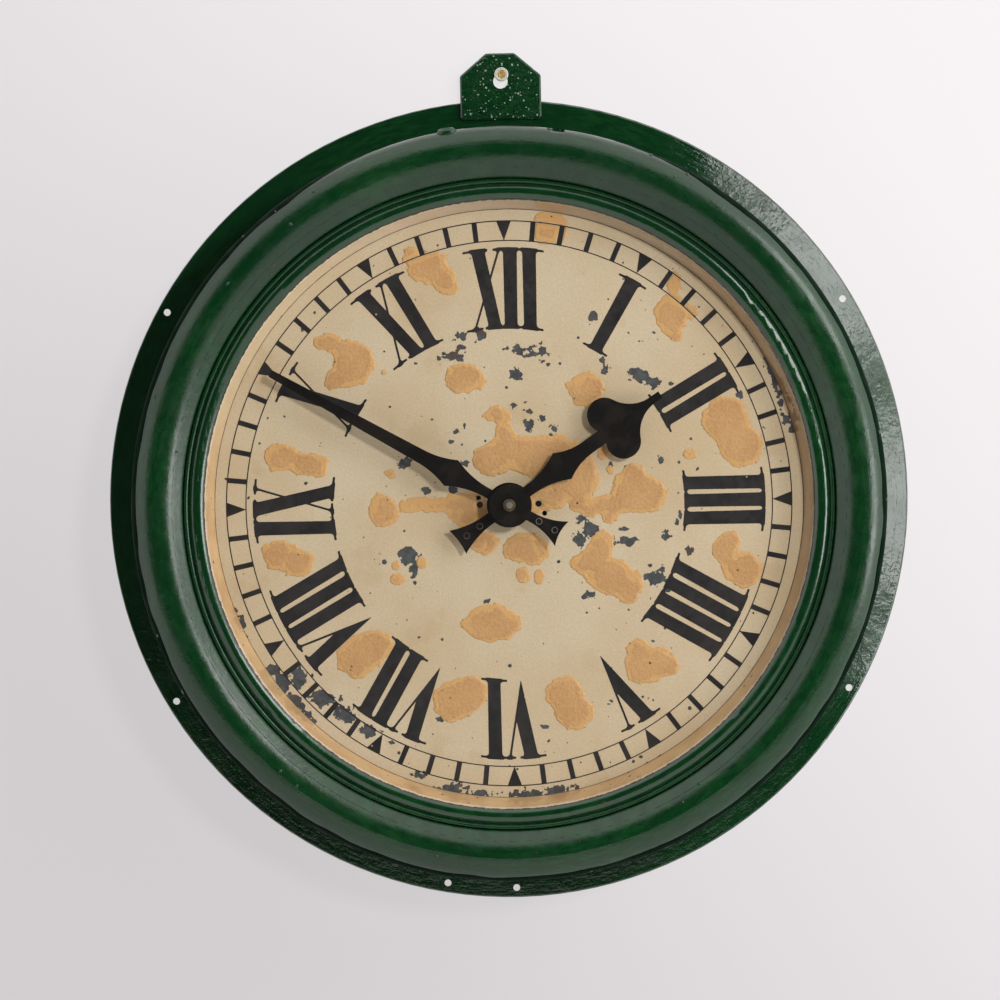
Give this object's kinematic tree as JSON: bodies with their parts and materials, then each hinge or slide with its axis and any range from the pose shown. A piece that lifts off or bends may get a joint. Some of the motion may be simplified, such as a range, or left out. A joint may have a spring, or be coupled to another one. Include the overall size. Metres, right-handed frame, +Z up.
{
  "type": "slave clock",
  "caption": "Round wall-hung slave clock in a rolled sheet-metal case, with a Roman dial, spade hands and an electric step movement that turns them.",
  "frame": {"origin": "on the dial axis at the wall plane, which is the back face of the flange", "axes": "+Z up, -Y out of the wall towards the viewer of the dial, +X to the viewer's right"},
  "size_m": [0.486, 0.088, 0.514],
  "materials": {
    "green_paint": "thick glossy dark green brush paint",
    "bezel_paint": "glossy dark green paint on the roll, buff paint on the sight wall",
    "dial_paint": "aged cream dial paint",
    "hand_black": "satin black paint",
    "nut_brass": "tarnished brass",
    "movement_brass": "lacquered brass",
    "steel": "plain bright steel",
    "soft_iron": "dark soft iron",
    "moulded_resin": "dark brown moulded resin",
    "coil_wrap": "varnished cotton wrap",
    "lead_sleeve": "black rubber sleeve"
  },
  "bodies": {
    "case": {"wall_flange": "green_paint", "case_drum": "green_paint", "hanging_bracket": "green_paint", "bracket_rivets": "green_paint", "bezel_ring": "bezel_paint", "bezel_screws": "steel", "dial_plate": "dial_paint", "dial_clips": "steel", "dial_clip_screws": "steel", "dial_screws": "nut_brass", "dial_pillars": "movement_brass", "movement_front_plate": "movement_brass", "movement_back_plate": "movement_brass", "movement_pillars": "steel", "pillar_screws": "steel", "arbor_bushes": "movement_brass", "minute_wheel_stud": "steel", "magnet_yoke": "soft_iron", "yoke_screws": "steel", "magnet_cores": "soft_iron", "coil_bobbins": "moulded_resin", "coil_windings": "coil_wrap", "click_stud": "steel", "spring_post": "movement_brass", "drive_spring": "steel", "stop_block": "movement_brass", "stop_screw": "steel", "terminal_block": "moulded_resin", "terminal_block_screws": "steel", "terminals": "movement_brass", "coil_leads": "lead_sleeve"},
    "minute": {"centre_arbor": "steel", "ratchet_wheel": "movement_brass", "ratchet_collet": "movement_brass", "cannon_pinion": "movement_brass", "minute_hand": "hand_black", "minute_counterweight": "hand_black", "minute_hand_rivets": "hand_black", "hub_cap": "hand_black", "hand_nut": "nut_brass"},
    "hour": {"hour_wheel": "movement_brass", "hour_hand_collet": "hand_black", "hour_hand": "hand_black", "hour_counterweight": "hand_black", "hour_hand_rivets": "hand_black"},
    "minute_wheel": {"minute_wheel": "movement_brass", "minute_wheel_pinion": "movement_brass"},
    "drive_lever": {"drive_lever": "steel", "armature": "soft_iron", "armature_screws": "steel", "lever_arbor": "steel", "pawl_pin": "steel"},
    "drive_pawl": {"drive_pawl": "steel"},
    "backstop_click": {"backstop_click": "steel"}
  },
  "joints": [
    {"name": "minute_hand_turn", "type": "hinge", "parent": "case", "child": "minute", "pos_m": [0, -0.05, 0], "axis": [0, 1, 0], "continuous": true},
    {"name": "hour_hand_turn", "type": "hinge", "parent": "case", "child": "hour", "pos_m": [0, -0.06, 0], "axis": [0, 1, 0], "continuous": true},
    {"name": "minute_wheel_turn", "type": "hinge", "parent": "case", "child": "minute_wheel", "pos_m": [0, -0.054, -0.0144], "axis": [0, 1, 0], "continuous": true},
    {"name": "drive_lever_swing", "type": "hinge", "parent": "case", "child": "drive_lever", "pos_m": [0.044, -0.03745, -0.04], "axis": [0, 1, 0], "range_deg": [-1.3, 0], "stiffness_Nm_per_rad": 0.25, "springref_deg": 5.73},
    {"name": "drive_pawl_pivot", "type": "hinge", "parent": "drive_lever", "child": "drive_pawl", "pos_m": [0.044, -0.03325, 0.032], "axis": [0, 1, 0], "range_deg": [0, 2.34]},
    {"name": "backstop_click_pivot", "type": "hinge", "parent": "case", "child": "backstop_click", "pos_m": [-0.041, -0.03325, -0.014], "axis": [0, 1, 0], "range_deg": [-14, 0]}
  ],
  "couplings": [
    {"joint": "hour_hand_turn", "follows": "minute_hand_turn", "ratio": 0.083333},
    {"joint": "minute_wheel_turn", "follows": "minute_hand_turn", "ratio": -0.33333},
    {"joint": "drive_pawl_pivot", "follows": "drive_lever_swing", "ratio": -1.8}
  ]
}
